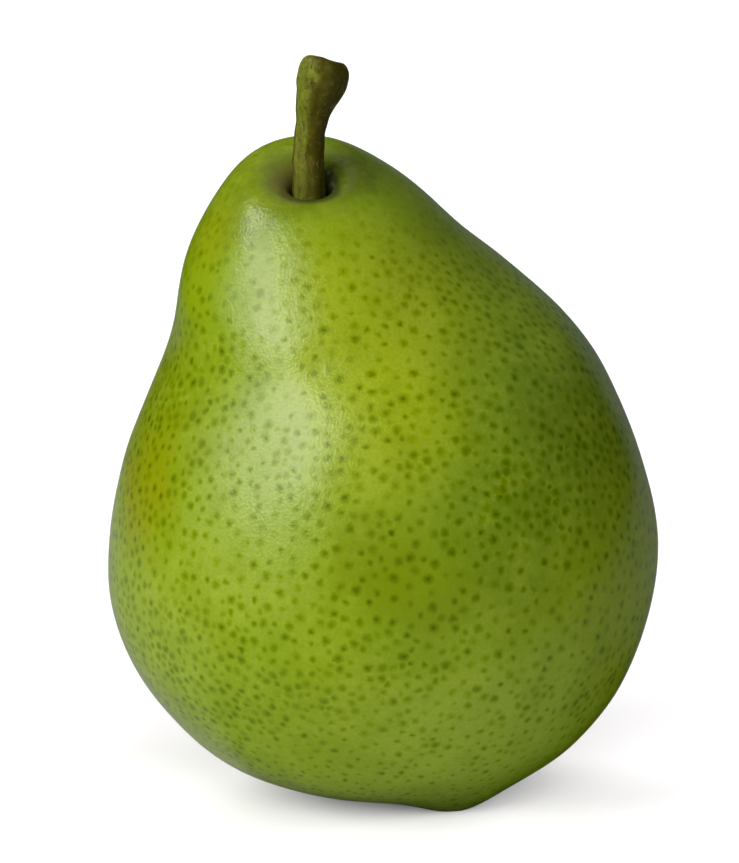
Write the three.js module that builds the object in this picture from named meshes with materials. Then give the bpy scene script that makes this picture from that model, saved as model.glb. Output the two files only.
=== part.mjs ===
// A green dessert pear with its stem, standing upright on its base.
//
// Millimetres, +Z up, +Y away from the front of the fruit, +X to its right. The fruit stands on
// Z = 0, and the origin is under the middle of its box. The neck nods forward, towards -Y, and
// leans left, so the stem rises out of a small pit above the front left of the belly. Under the
// fruit a shallow basin holds the dried calyx, and three low swellings round it carry the weight.
//
// The fruit is one solid. Its skin is a cubic B-spline swept through flat oval rings, from the
// floor of the basin, out round the base, up the belly and the neck, over the crown and down into
// the stem's socket. The stem is made the same way, and stands in that socket a little to the left
// of its middle, with clearance all round.

import * as THREE from "three";

// Each ring: its height, where its centre is, its half width along X and its half depth along Y,
// and the share of the crown's tilt that it has taken on. Both ends close on a point.
const FRUIT_RINGS = [
  { z: 5.5, x: 1.5, y: 0, halfWide: 0, halfDeep: 0, tilt: 0 }, // floor of the basin
  { z: 5.5, x: 1.5, y: 0, halfWide: 4.5, halfDeep: 4.5, tilt: 0 },
  { z: 2.3, x: 1.6, y: 0, halfWide: 9, halfDeep: 9, tilt: 0 }, // wall of the basin
  { z: 1.5, x: 2, y: 0, halfWide: 13, halfDeep: 13, tilt: 0 }, // lip of the basin
  { z: 4.4, x: 0.6, y: 0, halfWide: 23.9, halfDeep: 23.2, tilt: 0 },
  { z: 12.2, x: 0.6, y: 0, halfWide: 32.5, halfDeep: 31.1, tilt: 0 },
  { z: 24, x: -0.5, y: 0, halfWide: 39, halfDeep: 37.9, tilt: 0 },
  { z: 37, x: 0.2, y: 0, halfWide: 40.5, halfDeep: 38.9, tilt: 0 }, // widest belly
  { z: 50, x: 0, y: 0, halfWide: 38, halfDeep: 36.9, tilt: 0 },
  { z: 61.6, x: 0, y: -0.9, halfWide: 33.1, halfDeep: 31.9, tilt: 0.1 },
  { z: 70, x: -0.9, y: -2.7, halfWide: 28.7, halfDeep: 27.2, tilt: 0.35 },
  { z: 79.3, x: -7.65, y: -5.4, halfWide: 21.3, halfDeep: 20.5, tilt: 0.7 }, // neck
  { z: 86.5, x: -9.3, y: -6.6, halfWide: 15.4, halfDeep: 15.6, tilt: 1 },
  { z: 92.9, x: -11.3, y: -7.7, halfWide: 8.9, halfDeep: 8.6, tilt: 1 }, // crown
  { z: 92.5, x: -10.5, y: -8.8, halfWide: 5.6, halfDeep: 5.4, tilt: 1 }, // dimple round the stem
  { z: 91.4, x: -10.3, y: -9.3, halfWide: 3.6, halfDeep: 3.6, tilt: 1 },
  { z: 90.6, x: -10.25, y: -9.4, halfWide: 3.05, halfDeep: 3.05, tilt: 1 }, // rim of the socket
  { z: 89.4, x: -10.25, y: -9.4, halfWide: 2.85, halfDeep: 2.85, tilt: 0.9 },
  { z: 87.5, x: -10.25, y: -9.4, halfWide: 2.9, halfDeep: 2.9, tilt: 0.5 },
  { z: 86, x: -10.25, y: -9.4, halfWide: 2.9, halfDeep: 2.9, tilt: 0.2 },
  { z: 86, x: -10.25, y: -9.4, halfWide: 0, halfDeep: 0, tilt: 0 }, // floor of the socket
];
const CROWN_LEAN = 0.01; // rise of a fully tilted ring towards +X, per mm
const CROWN_NOD = 0.51; // and its rise towards +Y, which turns the pit to the front

// Soft swellings round the basin. The three deep ones are pressed flat where they carry the
// fruit, at Z = 0, and the two shallow ones stay clear of the ground.
const BASE_SWELLINGS = [
  { x: 10.5, y: -10.5, depth: 2.6 },
  { x: -8.5, y: 0, depth: 2.6 },
  { x: 4, y: 11.8, depth: 2.6 },
  { x: 14, y: 2, depth: 1.2 },
  { x: -4, y: -9.5, depth: 0.5 },
];
const SWELLING_RADIUS = 7;
const SWELLING_CEILING = 16; // no swelling reaches skin above this height

// The stem: a round foot, a slim shank and a swollen, knobby end with a slanted cut.
const STEM_RINGS = [
  { z: 86.35, x: -10.4, y: -9.4, halfWide: 0, halfDeep: 0, tilt: 0 },
  { z: 86.35, x: -10.4, y: -9.4, halfWide: 2, halfDeep: 1.95, tilt: 0 }, // foot in the socket
  { z: 88.2, x: -10.5, y: -9.4, halfWide: 2.35, halfDeep: 2.3, tilt: 0 },
  { z: 91, x: -10.5, y: -9.3, halfWide: 2.35, halfDeep: 2.25, tilt: 0 },
  { z: 94.5, x: -10.55, y: -9.3, halfWide: 2.3, halfDeep: 2.2, tilt: 0 }, // shank
  { z: 97.4, x: -10.55, y: -9.4, halfWide: 2.15, halfDeep: 2.05, tilt: 0 },
  { z: 101, x: -10, y: -9.5, halfWide: 2.25, halfDeep: 2.15, tilt: 0.05 },
  { z: 102.9, x: -9.35, y: -9.8, halfWide: 2.9, halfDeep: 2.8, tilt: 0.2 },
  { z: 105.3, x: -8.7, y: -10, halfWide: 3.65, halfDeep: 3.2, tilt: 0.45 }, // knob
  { z: 107.6, x: -8.3, y: -10.1, halfWide: 3.75, halfDeep: 3.25, tilt: 0.8 },
  { z: 108.95, x: -8.1, y: -10.1, halfWide: 2.85, halfDeep: 2.5, tilt: 1 }, // rim of the cut
  { z: 109.1, x: -7.9, y: -10.1, halfWide: 2.1, halfDeep: 1.85, tilt: 1 },
  { z: 108.95, x: -7.9, y: -10.1, halfWide: 0, halfDeep: 0, tilt: 1 },
];
const CUT_LEAN = -0.25; // rise of the cut towards +X, per mm: it falls to the right
const CUT_NOD = -0.24; // and towards +Y: it falls to the back

// The calyx: the dried end of the flower, a small boss with five sepals that spread into the
// basin, under a gap to its floor.
const SEPALS = 5;
const CALYX_X = 1.5;
const CALYX_Y = 0;
const CALYX_TOP = 4.45; // height of its upper face at the middle
const CALYX_THROAT_RADIUS = 2.3; // reach between two sepals
const SEPAL_REACH = 5.7;
const SEPAL_SHARPNESS = 1.3;
const SEPAL_FALL = 0.065; // how fast the upper face drops away from the middle, per mm squared
const BOSS_THICKNESS = 2.1;
const SEPAL_THICKNESS = 0.8;

const FRUIT_SIDES = 60;
const STEM_SIDES = 24;
const CALYX_SIDES = 50;
const CALYX_STEPS = 3;
const FRUIT_ROWS_PER_RING = 3;
const STEM_ROWS_PER_RING = 2;
const FULL_TURN = 2 * Math.PI;

// The same ring on the other side of its own centre. Put before a closed end, it makes the
// surface leave that end smoothly.
function mirrored(ring) {
  return { ...ring, halfWide: -ring.halfWide, halfDeep: -ring.halfDeep };
}

// The ring at a place along a list of rings, on a uniform cubic B-spline. place 0 is the first
// ring and place rings.length - 1 the last.
function ringAt(rings, place) {
  const last = rings.length - 1;
  const step = Math.min(Math.floor(place), last - 1);
  const part = place - step;
  const near = [
    step === 0 ? mirrored(rings[1]) : rings[step - 1],
    rings[step],
    rings[step + 1],
    step + 2 > last ? mirrored(rings[last - 1]) : rings[step + 2],
  ];
  const weights = [
    (1 - part) ** 3 / 6,
    (3 * part ** 3 - 6 * part ** 2 + 4) / 6,
    (-3 * part ** 3 + 3 * part ** 2 + 3 * part + 1) / 6,
    part ** 3 / 6,
  ];
  const blended = {};
  for (const key of Object.keys(rings[0])) {
    blended[key] = near.reduce((sum, ring, i) => sum + weights[i] * ring[key], 0);
  }
  return blended;
}

// A point on a ring. Its plane rises by lean along X and by nod along Y where it is fully tilted.
function pointOnRing(ring, turn, lean, nod) {
  const right = ring.halfWide * Math.cos(turn);
  const back = ring.halfDeep * Math.sin(turn);
  const rise = ring.tilt * (lean * right + nod * back);
  return new THREE.Vector3(ring.x + right, ring.y + back, ring.z + rise);
}

// A closed mesh of rows from a first point, through open rows of equal length, to a last point.
// Seen from outside, each row runs anticlockwise round a body whose rows climb.
function closedGeometry(rows) {
  const points = rows.flat();
  const sides = rows[1].length;
  const lastPoint = points.length - 1;
  const faces = [];
  for (let side = 0; side < sides; side += 1) {
    const next = (side + 1) % sides;
    faces.push(0, 1 + next, 1 + side);
    for (let row = 0; row < rows.length - 3; row += 1) {
      const low = 1 + row * sides;
      const high = low + sides;
      faces.push(low + side, low + next, high + next);
      faces.push(low + side, high + next, high + side);
    }
    const top = lastPoint - sides;
    faces.push(top + side, top + next, lastPoint);
  }
  const geometry = new THREE.BufferGeometry().setFromPoints(points);
  geometry.setIndex(faces);
  geometry.computeVertexNormals();
  return geometry;
}

// A closed body swept through rings, with shape() as the last word on where each point goes.
function sweptGeometry(rings, rowsPerRing, sides, lean, nod, shape) {
  const steps = (rings.length - 1) * rowsPerRing;
  const rows = [];
  for (let step = 0; step <= steps; step += 1) {
    const ring = ringAt(rings, step / rowsPerRing);
    const atEnd = step === 0 || step === steps;
    const row = [];
    for (let side = 0; side < (atEnd ? 1 : sides); side += 1) {
      row.push(shape(pointOnRing(ring, (side / sides) * FULL_TURN, lean, nod)));
    }
    rows.push(row);
  }
  return closedGeometry(rows);
}

// Lets the swellings down from the underside, and presses them flat on the ground.
function withSwellings(point) {
  if (point.z < SWELLING_CEILING) {
    let drop = 0;
    for (const swelling of BASE_SWELLINGS) {
      const away = Math.hypot(point.x - swelling.x, point.y - swelling.y) / SWELLING_RADIUS;
      drop += swelling.depth * Math.exp(-(away ** 2));
    }
    point.z = Math.max(point.z - drop, 0);
  }
  return point;
}

function makeFruit() {
  const geometry = sweptGeometry(
    FRUIT_RINGS,
    FRUIT_ROWS_PER_RING,
    FRUIT_SIDES,
    CROWN_LEAN,
    CROWN_NOD,
    withSwellings,
  );
  const skin = new THREE.MeshStandardMaterial({ color: 0x8fa82c, roughness: 0.42, metalness: 0 });
  return new THREE.Mesh(geometry, skin);
}

function makeStem() {
  const asSwept = (point) => point;
  const geometry = sweptGeometry(
    STEM_RINGS,
    STEM_ROWS_PER_RING,
    STEM_SIDES,
    CUT_LEAN,
    CUT_NOD,
    asSwept,
  );
  const bark = new THREE.MeshStandardMaterial({ color: 0x5d5a25, roughness: 0.6, metalness: 0 });
  return new THREE.Mesh(geometry, bark);
}

// How far the calyx reaches in a direction: out to a sepal's tip, and in again between two.
function calyxReach(turn) {
  const sepal = Math.cos((SEPALS * turn) / 2) ** 2;
  return CALYX_THROAT_RADIUS + (SEPAL_REACH - CALYX_THROAT_RADIUS) * sepal ** SEPAL_SHARPNESS;
}

// One row of the calyx at a share of its reach, dropped below its upper face.
function calyxRow(share, drop) {
  const row = [];
  for (let side = 0; side < CALYX_SIDES; side += 1) {
    const turn = (side / CALYX_SIDES) * FULL_TURN;
    const out = share * calyxReach(turn);
    const x = CALYX_X + out * Math.cos(turn);
    const y = CALYX_Y + out * Math.sin(turn);
    row.push(new THREE.Vector3(x, y, CALYX_TOP - SEPAL_FALL * out ** 2 - drop(out)));
  }
  return row;
}

function makeCalyx() {
  const thickness = (out) => {
    const towardsTip = Math.min(out / SEPAL_REACH, 1);
    return THREE.MathUtils.lerp(BOSS_THICKNESS, SEPAL_THICKNESS, towardsTip);
  };
  const noDrop = () => 0;
  const rows = [[new THREE.Vector3(CALYX_X, CALYX_Y, CALYX_TOP - BOSS_THICKNESS)]];
  for (let step = 1; step <= CALYX_STEPS; step += 1) {
    rows.push(calyxRow(step / CALYX_STEPS, thickness));
  }
  for (let step = CALYX_STEPS; step >= 1; step -= 1) {
    rows.push(calyxRow(step / CALYX_STEPS, noDrop));
  }
  rows.push([new THREE.Vector3(CALYX_X, CALYX_Y, CALYX_TOP)]);
  const driedSepal = new THREE.MeshStandardMaterial({ color: 0x3b2a18, roughness: 0.85, metalness: 0 });
  return new THREE.Mesh(closedGeometry(rows), driedSepal);
}

const pear = new THREE.Group();
const pieces = { fruit: makeFruit(), stem: makeStem(), calyx: makeCalyx() };
for (const [name, mesh] of Object.entries(pieces)) {
  mesh.name = name;
  pear.add(mesh);
}

export default pear;
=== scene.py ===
"""A green pear standing on a white surface in soft studio light, dressed round its CAD frame."""
import math
from functools import reduce

import bpy
import numpy as np
from mathutils import Euler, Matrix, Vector
from mathutils.bvhtree import BVHTree
from mathutils.kdtree import KDTree


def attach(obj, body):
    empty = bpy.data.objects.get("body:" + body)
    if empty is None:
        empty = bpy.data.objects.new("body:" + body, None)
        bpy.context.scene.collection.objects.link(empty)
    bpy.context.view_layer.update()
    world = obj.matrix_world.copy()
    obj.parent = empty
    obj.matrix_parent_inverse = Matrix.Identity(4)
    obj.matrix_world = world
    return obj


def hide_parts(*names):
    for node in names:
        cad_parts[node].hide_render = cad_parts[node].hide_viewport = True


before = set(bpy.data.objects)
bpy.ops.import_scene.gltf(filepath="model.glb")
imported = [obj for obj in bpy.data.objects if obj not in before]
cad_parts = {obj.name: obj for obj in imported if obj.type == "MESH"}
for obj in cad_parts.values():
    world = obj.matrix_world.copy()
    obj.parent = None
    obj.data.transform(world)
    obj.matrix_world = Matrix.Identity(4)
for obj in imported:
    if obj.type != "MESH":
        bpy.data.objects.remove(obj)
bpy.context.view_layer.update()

MM = 0.001
FULL_TURN = 2 * math.pi
TINY = 1e-9  # keeps a division by nothing from failing

# --------------------------------------------------------------------------- camera

CAMERA_AIM = Vector((-1.9, 0.0, 53.5)) * MM
CAMERA_DISTANCE = 695 * MM
CAMERA_ELEVATION = math.radians(12)
CAMERA_LENS = 200.0
CAMERA_SENSOR = 36.0
CAMERA_NEAREST = 0.01


def make_camera():
    """A long lens in front of the pear, a little above its middle."""
    data = bpy.data.cameras.new("camera")
    data.lens = CAMERA_LENS
    data.sensor_width = CAMERA_SENSOR
    data.clip_start = CAMERA_NEAREST
    camera = bpy.data.objects.new("camera", data)
    back = Vector((0.0, -math.cos(CAMERA_ELEVATION), math.sin(CAMERA_ELEVATION)))
    camera.location = CAMERA_AIM + back * CAMERA_DISTANCE
    camera.rotation_euler = Euler((math.pi / 2 - CAMERA_ELEVATION, 0.0, 0.0))
    bpy.context.scene.collection.objects.link(camera)
    bpy.context.scene.camera = camera


make_camera()

# --------------------------------------------------------------------------- shape of the fruit

# Rings of the fruit, in millimetres: height, x and y of the centre, half width, half depth, and
# the share of the crown's tilt. They are those of the CAD solid, sampled more finely here.
FRUIT_RINGS = [
    (5.5, 1.5, 0.0, 0.0, 0.0, 0.0),
    (5.5, 1.5, 0.0, 4.5, 4.5, 0.0),
    (2.3, 1.6, 0.0, 9.0, 9.0, 0.0),
    (1.5, 2.0, 0.0, 13.0, 13.0, 0.0),
    (4.4, 0.6, 0.0, 23.9, 23.2, 0.0),
    (12.2, 0.6, 0.0, 32.5, 31.1, 0.0),
    (24.0, -0.5, 0.0, 39.0, 37.9, 0.0),
    (37.0, 0.2, 0.0, 40.5, 38.9, 0.0),
    (50.0, 0.0, 0.0, 38.0, 36.9, 0.0),
    (61.6, 0.0, -0.9, 33.1, 31.9, 0.1),
    (70.0, -0.9, -2.7, 28.7, 27.2, 0.35),
    (79.3, -7.65, -5.4, 21.3, 20.5, 0.7),
    (86.5, -9.3, -6.6, 15.4, 15.6, 1.0),
    (92.9, -11.3, -7.7, 8.9, 8.6, 1.0),
    (92.5, -10.5, -8.8, 5.6, 5.4, 1.0),
    (91.4, -10.3, -9.3, 3.6, 3.6, 1.0),
    (90.6, -10.25, -9.4, 3.05, 3.05, 1.0),
    (89.4, -10.25, -9.4, 2.85, 2.85, 0.9),
    (87.5, -10.25, -9.4, 2.9, 2.9, 0.5),
    (86.0, -10.25, -9.4, 2.9, 2.9, 0.2),
    (86.0, -10.25, -9.4, 0.0, 0.0, 0.0),
]
CROWN_LEAN = 0.01
CROWN_NOD = 0.51
BASE_SWELLINGS = [  # x, y, depth
    (10.5, -10.5, 2.6),
    (-8.5, 0.0, 2.6),
    (4.0, 11.8, 2.6),
    (14.0, 2.0, 1.2),
    (-4.0, -9.5, 0.5),
]
SWELLING_RADIUS = 7.0
SWELLING_CEILING = 16.0

FRUIT_SIDES = 330
FRUIT_ROW_STEP = 0.75  # millimetres along the skin
PIT = Vector((-10.3, -9.4, 91.2))  # middle of the stem's pit, in millimetres
BASIN_X = 1.5

# Shallow dents in the front of the skin: x and z of the deepest point, how far they reach to
# the left, to the right, and up and down, and the depth.
DENTS = [(-8.8, 68.3, 3.2, 11.0, 2.8, 0.42)]

# Soft waves of the skin, each a plane wave in a direction of its own.
WAVES = 46
WAVE_SEED = 7
WAVE_LENGTHS = (9.0, 30.0)
WAVE_HEIGHT = 0.095  # their standard deviation, in millimetres
WAVES_START = 1.5  # the waves fade in between these heights, so that the feet stay flat
WAVES_FULL = 9.0
PIT_CALM = 4.0  # and between these distances from the stem's pit
PIT_WAVY = 12.0

RING_TRIES = 4000  # how finely the rings are walked to find evenly spaced rows


def rings_at(rings, places):
    """Rings at places along a list of rings, on a uniform cubic B-spline with mirrored ends."""
    flip = np.array([1, 1, 1, -1, -1, 1], float)  # widths change sign beyond either end
    rings = np.array(rings, float)
    padded = np.vstack([rings[1] * flip, rings, rings[-2] * flip])
    step = np.minimum(places.astype(int), len(rings) - 2)
    part = (places - step)[:, None]
    return (
        padded[step] * (1 - part) ** 3 / 6
        + padded[step + 1] * (3 * part**3 - 6 * part**2 + 4) / 6
        + padded[step + 2] * (-3 * part**3 + 3 * part**2 + 3 * part + 1) / 6
        + padded[step + 3] * part**3 / 6
    )


def even_places(rings, step):
    """Places along the rings that lie a step apart along the skin."""
    tries = np.linspace(0, len(rings) - 1, RING_TRIES)
    height, _, _, wide, deep, _ = rings_at(rings, tries).T
    apart = np.hypot(np.diff(height), np.diff((wide + deep) / 2))
    along = np.concatenate([[0], np.cumsum(apart)])
    return np.interp(np.linspace(0, along[-1], int(along[-1] / step)), along, tries)


def swept_points(rings, places, sides, lean, nod):
    """Points as an array of rows, sides and x, y, z, in millimetres."""
    height, x, y, wide, deep, tilt = (part[:, None] for part in rings_at(rings, places).T)
    turn = np.arange(sides) / sides * FULL_TURN
    right = wide * np.cos(turn)
    back = deep * np.sin(turn)
    return np.stack([x + right, y + back, height + tilt * (lean * right + nod * back)], axis=-1)


def row_normals(points):
    """Outward normals of rows of points."""
    round_it = np.roll(points, -1, axis=1) - np.roll(points, 1, axis=1)
    along_it = np.gradient(points, axis=0)
    normals = np.cross(round_it, along_it)
    lengths = np.linalg.norm(normals, axis=-1, keepdims=True)
    return normals / np.maximum(lengths, TINY)


def wave_push(points, seed, lengths, height, waves):
    """How far soft random waves push each point out along its normal, in millimetres."""
    rng = np.random.default_rng(seed)
    push = np.zeros(points.shape[:2])
    for _ in range(waves):
        way = rng.normal(size=3)
        way /= np.linalg.norm(way)
        length = rng.uniform(*lengths)
        push += np.sin(points @ way * (FULL_TURN / length) + rng.uniform(0, FULL_TURN)) * length
    return push * (height / (push.std() + TINY))


def smooth_step(low, high, value):
    """Goes smoothly from 0 to 1 as value goes from low to high."""
    share = np.clip((value - low) / (high - low), 0, 1)
    return share * share * (3 - 2 * share)


def fruit_points():
    """The fruit's skin: its rings, the swellings of its base, soft waves and the dent."""
    places = even_places(FRUIT_RINGS, FRUIT_ROW_STEP)
    points = swept_points(FRUIT_RINGS, places, FRUIT_SIDES, CROWN_LEAN, CROWN_NOD)
    drop = np.zeros(points.shape[:2])
    for x, y, depth in BASE_SWELLINGS:
        away = np.hypot(points[..., 0] - x, points[..., 1] - y) / SWELLING_RADIUS
        drop += depth * np.exp(-(away**2))
    low = points[..., 2] < SWELLING_CEILING
    points[..., 2] = np.where(low, np.maximum(points[..., 2] - drop, 0), points[..., 2])
    push = wave_push(points, WAVE_SEED, WAVE_LENGTHS, WAVE_HEIGHT, WAVES)
    for x, z, left, right, tall, depth in DENTS:
        across = points[..., 0] - x
        across /= np.where(across < 0, left, right)
        up = (points[..., 2] - z) / tall
        push -= np.where(points[..., 1] < 0, depth * np.exp(-(across**2) - up**2), 0)
    from_pit = np.linalg.norm(points - np.array(PIT), axis=-1)
    fade = smooth_step(WAVES_START, WAVES_FULL, points[..., 2])
    fade *= smooth_step(PIT_CALM, PIT_WAVY, from_pit)
    return points + row_normals(points) * (push * fade)[..., None]


# --------------------------------------------------------------------------- meshes


def tube_faces(rows, sides):
    """Faces of a closed tube: a fan at its first point, rows of quads, a fan at its last point."""
    last = 1 + rows * sides
    top = last - sides
    pairs = [(side, (side + 1) % sides) for side in range(sides)]
    faces = [(0, 1 + after, 1 + side) for side, after in pairs]
    for low in range(1, top, sides):
        high = low + sides
        faces += [(low + side, low + after, high + after, high + side) for side, after in pairs]
    faces += [(top + side, top + after, last) for side, after in pairs]
    return faces


def smooth_mesh(name, points, faces):
    """A mesh with smooth shading, from points in millimetres."""
    mesh = bpy.data.meshes.new(name)
    mesh.from_pydata((np.array(points) * MM).tolist(), [], faces)
    mesh.shade_smooth()
    mesh.update()
    return mesh


def closed_mesh(name, points):
    """A closed mesh from rows of points whose first and last rows have no width."""
    rows, sides = points.shape[:2]
    inner = points[1:-1].reshape(-1, 3)
    verts = np.vstack([points[0, :1], inner, points[-1, :1]])
    return smooth_mesh(name, verts, tube_faces(rows - 2, sides))


def add_piece(name, mesh, material, node):
    """A piece of the pear that rides on its one body and stands for a CAD node."""
    piece = bpy.data.objects.new(name, mesh)
    bpy.context.scene.collection.objects.link(piece)
    mesh.materials.append(material)
    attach(piece, "root")
    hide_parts(node)
    return piece


# --------------------------------------------------------------------------- lenticels

SPOT_SEED = 31
SPOT_TRIES = 70000
SPOT_JITTER = 0.35  # how far a spot may lie from the middle of its face, in millimetres
SPOT_LUCK = (0.80, 1.35)  # what each spot's gap is multiplied by, at random
# The gap between spots at some heights, both in millimetres.
SPOT_GAPS = [(3.0, 1.35), (14.0, 1.5), (30.0, 1.7), (50.0, 1.65), (70.0, 1.45), (90.0, 1.8)]
SPOT_CELL = 3.5  # a spot is compared with those in its own cell of this size and in the next ones
SPOT_CROWDING = 0.35  # how much closer the spots sit in the crowded patches
SPOT_THINNING = 0.003  # how much further apart they sit with each millimetre to the right
CROWD_WAVES = 5
CROWD_RATE = 0.13  # radians per millimetre
BARE_RADIUS = 8.5  # no spots this near the pit


def crowding(place, waves):
    """A soft random number between -1 and 1 that says how crowded the spots are at a place."""
    return float(np.mean([math.sin(place @ way + phase) for way, phase in waves]))


def spots_round(cells, home):
    """The spots kept so far in a cell and in the 26 cells round it."""
    x, y, z = home
    for dx in (-1, 0, 1):
        for dy in (-1, 0, 1):
            for dz in (-1, 0, 1):
                yield from cells.get((x + dx, y + dy, z + dz), ())


def face_values(mesh, name, size):
    """A value of each of the mesh's faces, as one array."""
    values = np.zeros(len(mesh.polygons) * size)
    mesh.polygons.foreach_get(name, values)
    return values


def spot_centres(mesh):
    """Centres of the skin's spots in millimetres, scattered by area and kept a gap apart."""
    rng = np.random.default_rng(SPOT_SEED)
    areas = face_values(mesh, "area", 1)
    centres = face_values(mesh, "center", 3).reshape(-1, 3) / MM
    drawn = rng.choice(len(areas), SPOT_TRIES, p=areas / areas.sum())
    jitter = rng.uniform(-SPOT_JITTER, SPOT_JITTER, (SPOT_TRIES, 3))
    luck = rng.uniform(*SPOT_LUCK, SPOT_TRIES)
    waves = []
    for _ in range(CROWD_WAVES):
        waves.append((rng.normal(size=3) * CROWD_RATE, rng.uniform(0, FULL_TURN)))
    heights, gaps = zip(*SPOT_GAPS)
    kept = []
    cells = {}
    for index, move, chance in zip(drawn, jitter, luck):
        spot = centres[index] + move
        if np.linalg.norm(spot - np.array(PIT)) < BARE_RADIUS:
            continue
        gap = np.interp(spot[2], heights, gaps) * chance
        gap *= 1 + SPOT_CROWDING * crowding(spot, waves) + SPOT_THINNING * spot[0]
        home = tuple((spot // SPOT_CELL).astype(int))
        if all(math.dist(spot, other) > gap for other in spots_round(cells, home)):
            cells.setdefault(home, []).append(spot)
            kept.append(spot)
    return kept


def mark_spots(mesh):
    """Tells each face where its nearest and second nearest spots are, for the skin's shader."""
    spots = spot_centres(mesh)
    tree = KDTree(len(spots))
    for index, spot in enumerate(spots):
        tree.insert(spot, index)
    tree.balance()
    nearest = np.zeros((len(mesh.polygons), 3))
    second = np.zeros((len(mesh.polygons), 3))
    for face in mesh.polygons:
        found = tree.find_n(face.center / MM, 2)
        nearest[face.index] = found[0][0]
        second[face.index] = found[1][0]
    for name, values in (("near_spot", nearest), ("next_spot", second)):
        layer = mesh.attributes.new(name, "FLOAT_VECTOR", "FACE")
        layer.data.foreach_set("vector", values.astype(np.float32).ravel())


# --------------------------------------------------------------------------- shader helpers

MIX_A, MIX_B = 6, 7  # the mix node's sockets for its two colours


class Paint:
    """A material whose shader nodes are added and linked one call at a time."""

    def __init__(self, name):
        self.material = bpy.data.materials.new(name)
        self.material.use_nodes = True
        self.tree = self.material.node_tree
        self.surface = self.tree.nodes["Principled BSDF"]

    def add(self, kind, inputs, output=0, **settings):
        """A node with its settings and its inputs, by name or place; gives one output."""
        node = self.tree.nodes.new(kind)
        for key, value in settings.items():
            setattr(node, key, value)
        for key, value in inputs.items():
            if isinstance(value, bpy.types.NodeSocket):
                self.tree.links.new(value, node.inputs[key])
            else:
                node.inputs[key].default_value = value
        return node.outputs[output]

    def place(self):
        """The point on the piece, in millimetres."""
        point = self.add("ShaderNodeTexCoord", {}, output="Object")
        return self.scaled(point, 1 / MM)

    def scaled(self, vector, factor):
        return self.add("ShaderNodeVectorMath", {0: vector, 3: factor}, operation="SCALE")

    def stretched(self, vector, factors):
        return self.add("ShaderNodeVectorMath", {0: vector, 1: factors}, operation="MULTIPLY")

    def sum(self, a, b):
        return self.add("ShaderNodeMath", {0: a, 1: b}, operation="ADD")

    def times(self, a, b):
        return self.add("ShaderNodeMath", {0: a, 1: b}, operation="MULTIPLY")

    def larger(self, a, b):
        return self.add("ShaderNodeMath", {0: a, 1: b}, operation="MAXIMUM")

    def distance(self, a, b):
        return self.add("ShaderNodeVectorMath", {0: a, 1: b}, output="Value", operation="DISTANCE")

    def step(self, value, start, end, low=0.0, high=1.0):
        """Goes smoothly from low to high as value goes from start to end."""
        inputs = {"Value": value, "From Min": start, "From Max": end, "To Min": low, "To Max": high}
        return self.add("ShaderNodeMapRange", inputs, interpolation_type="SMOOTHSTEP")

    def noise(self, vector, size, detail=2.0, roughness=0.5):
        """Cloudy noise, about 0.5 on average, with blotches of a size in millimetres."""
        inputs = {"Vector": vector, "Scale": 1 / size, "Detail": detail, "Roughness": roughness}
        return self.add("ShaderNodeTexNoise", inputs, output="Fac")

    def noises(self, point, table):
        """A noise for each row of a table: size, detail, roughness and, if any, the stretch."""
        made = {}
        for name, (size, detail, roughness, *stretch) in table.items():
            vector = self.stretched(point, stretch[0]) if stretch else point
            made[name] = self.noise(vector, size, detail, roughness)
        return made

    def strayed(self, vector, size, amount):
        """The point moved at random by up to half an amount, in blotches of a size."""
        inputs = {"Vector": vector, "Scale": 1 / size, "Detail": 1.0}
        cloud = self.add("ShaderNodeTexNoise", inputs, output="Color")
        inputs = {0: cloud, 1: (0.5, 0.5, 0.5)}
        away = self.add("ShaderNodeVectorMath", inputs, operation="SUBTRACT")
        inputs = {0: self.scaled(away, 2 * amount), 1: vector}
        return self.add("ShaderNodeVectorMath", inputs, operation="ADD")

    def mix(self, factor, a, b, blend="MIX"):
        """Colour a, blended with colour b by a factor between 0 and 1."""
        inputs = {"Factor": factor, MIX_A: self.colour(a), MIX_B: self.colour(b)}
        return self.add(
            "ShaderNodeMix", inputs, output=2, data_type="RGBA", blend_type=blend, clamp_factor=True
        )

    @staticmethod
    def colour(value):
        return value if isinstance(value, bpy.types.NodeSocket) else (*value, 1.0)

    def parts(self, vector):
        """The x, y and z of a vector."""
        node = self.tree.nodes.new("ShaderNodeSeparateXYZ")
        self.tree.links.new(vector, node.inputs[0])
        return node.outputs

    def relief(self, layers):
        """The normal that a relief gives, from layers of noise and their heights in millimetres."""
        heights = [self.times(noise, height) for noise, height in layers]
        inputs = {"Strength": 1.0, "Distance": MM, "Height": reduce(self.sum, heights)}
        return self.add("ShaderNodeBump", inputs)

    def finish(self, **inputs):
        """Sets or links the surface's inputs by name, and gives the material."""
        for key, value in inputs.items():
            socket = self.surface.inputs[key.replace("_", " ")]
            if isinstance(value, bpy.types.NodeSocket):
                self.tree.links.new(value, socket)
            else:
                socket.default_value = value
        return self.material


# --------------------------------------------------------------------------- skin

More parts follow.
